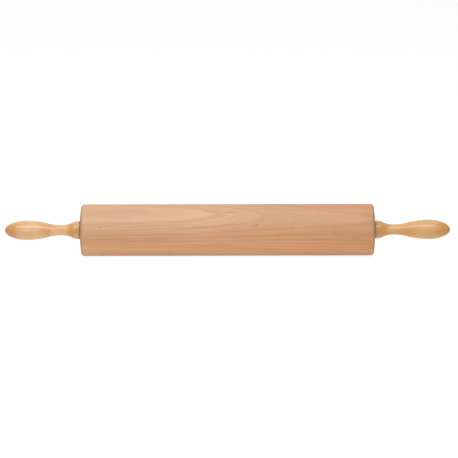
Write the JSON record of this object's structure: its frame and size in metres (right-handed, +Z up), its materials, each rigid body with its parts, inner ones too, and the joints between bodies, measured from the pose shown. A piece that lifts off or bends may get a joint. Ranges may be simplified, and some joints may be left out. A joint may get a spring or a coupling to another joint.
{
  "type": "rolling pin",
  "caption": "Baker's rolling pin: a thick straight hardwood barrel that turns on ball bearings round a steel axle, with a turned wooden handle at each end.",
  "frame": {"origin": "middle of the barrel, on the axle's centre line", "axes": "+X along the axle towards the right handle; +Z up; the barrel rests on its side at z = -0.035"},
  "size_m": [0.6036, 0.07, 0.07],
  "materials": {
    "barrel_maple": "hard maple, sanded and oiled, satin",
    "handle_hardwood": "turned beech, clear lacquer, gloss",
    "axle_steel": "bright drawn steel, rolled splines at the ends",
    "bearing_steel": "ground bearing steel",
    "ball_steel": "polished bearing steel",
    "cage_steel": "pressed low carbon steel",
    "shield_steel": "zinc plated sheet",
    "housing_acetal": "machined black acetal",
    "spacer_nylon": "brown nylon"
  },
  "bodies": {
    "handle_axle": {"axle_rod": "axle_steel", "left_handle": "handle_hardwood", "left_spacer_washer": "spacer_nylon", "left_bearing_inner_ring": "bearing_steel", "right_handle": "handle_hardwood", "right_spacer_washer": "spacer_nylon", "right_bearing_inner_ring": "bearing_steel"},
    "barrel": {"barrel": "barrel_maple", "left_bearing_housing": "housing_acetal", "left_bearing_outer_ring": "bearing_steel", "left_bearing_outboard_shield": "shield_steel", "left_bearing_inboard_shield": "shield_steel", "right_bearing_housing": "housing_acetal", "right_bearing_outer_ring": "bearing_steel", "right_bearing_outboard_shield": "shield_steel", "right_bearing_inboard_shield": "shield_steel"},
    "left_ball_set": {"left_bearing_balls": "ball_steel", "left_bearing_cage_outboard_half": "cage_steel", "left_bearing_cage_inboard_half": "cage_steel", "left_bearing_cage_rivets": "cage_steel"},
    "right_ball_set": {"right_bearing_balls": "ball_steel", "right_bearing_cage_outboard_half": "cage_steel", "right_bearing_cage_inboard_half": "cage_steel", "right_bearing_cage_rivets": "cage_steel"}
  },
  "joints": [
    {"name": "barrel_spin", "type": "hinge", "parent": "handle_axle", "child": "barrel", "pos_m": [0, 0, 0], "axis": [1, 0, 0], "continuous": true},
    {"name": "left_ball_orbit", "type": "hinge", "parent": "handle_axle", "child": "left_ball_set", "pos_m": [-0.1955, 0, 0], "axis": [1, 0, 0], "continuous": true},
    {"name": "right_ball_orbit", "type": "hinge", "parent": "handle_axle", "child": "right_ball_set", "pos_m": [0.1955, 0, 0], "axis": [1, 0, 0], "continuous": true}
  ],
  "couplings": [
    {"joint": "left_ball_orbit", "follows": "barrel_spin", "ratio": 0.6323},
    {"joint": "right_ball_orbit", "follows": "barrel_spin", "ratio": 0.6323}
  ]
}
